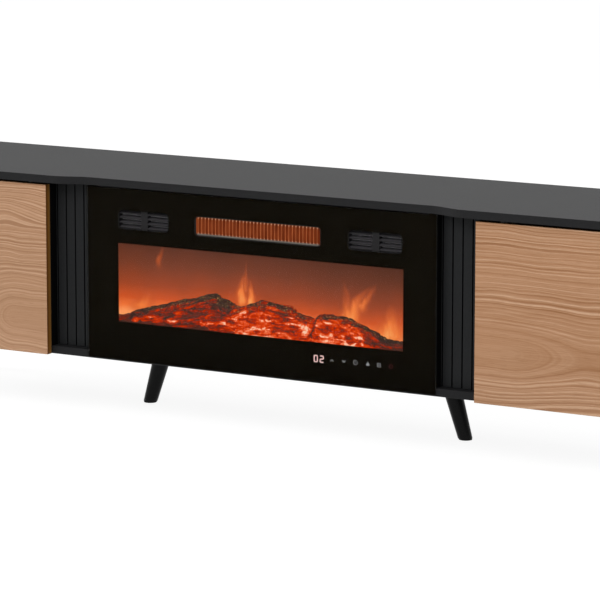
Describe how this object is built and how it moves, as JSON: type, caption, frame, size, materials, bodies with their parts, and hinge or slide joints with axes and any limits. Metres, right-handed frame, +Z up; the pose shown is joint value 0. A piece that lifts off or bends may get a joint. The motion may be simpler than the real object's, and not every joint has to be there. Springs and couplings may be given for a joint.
{
  "type": "fireplace tv stand",
  "caption": "Long low tv stand on raked legs: wavy-front top, hinged side doors, fluted columns and a glass-fronted electric fireplace with heater and vents.",
  "frame": {"origin": "on the floor, under the middle of the top panel", "axes": "+X to the right seen from the front, +Y to the back, +Z up"},
  "size_m": [2.032, 0.45, 0.565],
  "materials": {
    "black_laminate": "matt black laminate",
    "black_fluted": "matt black laminate, grooved",
    "oak_veneer": "warm wood veneer, satin",
    "back_fibreboard": "matt black fibreboard",
    "black_leg": "satin black lacquer",
    "rubber": "matt",
    "zinc": "zinc plated",
    "grey_plastic": "matt",
    "tinted_glass": "polished, tinted",
    "black_enamel": "gloss black",
    "black_sheet": "powder coated",
    "louvre_plastic": "satin dark grey",
    "flame_screen": "frosted, lit from behind",
    "charred_log": "charred bark with glowing cracks",
    "ember_resin": "translucent, lit from below",
    "copper": "bright copper wire",
    "hot_element": "glowing",
    "mirror_strip": "mirror polished",
    "circuit_board": "solder mask",
    "motor_steel": "satin"
  },
  "bodies": {
    "root": {"top_panel": "black_laminate", "bottom_panel": "black_laminate", "left_end_panel": "black_laminate", "right_end_panel": "black_laminate", "left_door_partition": "black_laminate", "right_door_partition": "black_laminate", "left_bay_partition": "black_laminate", "right_bay_partition": "black_laminate", "left_shelf": "black_laminate", "right_shelf": "black_laminate", "left_fluted_panel": "black_fluted", "right_fluted_panel": "black_fluted", "left_back_panel": "back_fibreboard", "right_back_panel": "back_fibreboard", "centre_back_panel": "back_fibreboard", "left_upper_hinge_frame_leaf": "zinc", "left_lower_hinge_frame_leaf": "zinc", "right_upper_hinge_frame_leaf": "zinc", "right_lower_hinge_frame_leaf": "zinc", "left_latch_body": "grey_plastic", "right_latch_body": "grey_plastic", "front_left_leg": "black_leg", "centre_left_leg": "black_leg", "rear_left_leg": "black_leg", "front_right_leg": "black_leg", "centre_right_leg": "black_leg", "rear_right_leg": "black_leg", "front_glass": "tinted_glass", "front_plate": "black_enamel", "insert_shell": "black_sheet", "insert_rear_cover": "black_sheet", "cord_gland": "rubber", "heater_deck": "black_sheet", "flame_screen": "flame_screen", "ember_bed": "ember_resin", "ember_light_board": "circuit_board", "log_set": "charred_log", "rotor_motor": "motor_steel", "heater_bezel": "grey_plastic", "heater_grille": "copper", "blower_duct": "black_sheet", "heater_element": "hot_element", "blower_motor": "motor_steel", "left_vent_louvre": "louvre_plastic", "right_vent_louvre": "louvre_plastic", "display_board": "circuit_board", "power_board": "circuit_board"},
    "left_door_body": {"left_door": "oak_veneer", "left_upper_hinge_door_leaf": "zinc", "left_lower_hinge_door_leaf": "zinc", "left_strike_plate": "zinc"},
    "right_door_body": {"right_door": "oak_veneer", "right_upper_hinge_door_leaf": "zinc", "right_lower_hinge_door_leaf": "zinc", "right_strike_plate": "zinc"},
    "left_plunger_body": {"left_latch_plunger": "grey_plastic"},
    "right_plunger_body": {"right_latch_plunger": "grey_plastic"},
    "flame_rotor_body": {"flame_rotor": "mirror_strip"},
    "blower_wheel_body": {"blower_wheel": "grey_plastic"}
  },
  "joints": [
    {"name": "left_door_hinge", "type": "hinge", "parent": "root", "child": "left_door_body", "pos_m": [-1.011, -0.198, 0.34], "axis": [0, 0, -1], "range_deg": [0, 110]},
    {"name": "right_door_hinge", "type": "hinge", "parent": "root", "child": "right_door_body", "pos_m": [1.011, -0.198, 0.34], "axis": [0, 0, 1], "range_deg": [0, 110]},
    {"name": "left_latch_push", "type": "slide", "parent": "root", "child": "left_plunger_body", "axis": [0, 1, 0], "range_m": [0, 0.004], "stiffness_N_per_m": 300, "springref_m": -0.002},
    {"name": "right_latch_push", "type": "slide", "parent": "root", "child": "right_plunger_body", "axis": [0, 1, 0], "range_m": [0, 0.004], "stiffness_N_per_m": 300, "springref_m": -0.002},
    {"name": "flame_rotor_spin", "type": "hinge", "parent": "root", "child": "flame_rotor_body", "pos_m": [0, -0.09, 0.202], "axis": [1, 0, 0], "continuous": true},
    {"name": "blower_wheel_spin", "type": "hinge", "parent": "root", "child": "blower_wheel_body", "pos_m": [0, -0.107, 0.4705], "axis": [1, 0, 0], "continuous": true}
  ]
}
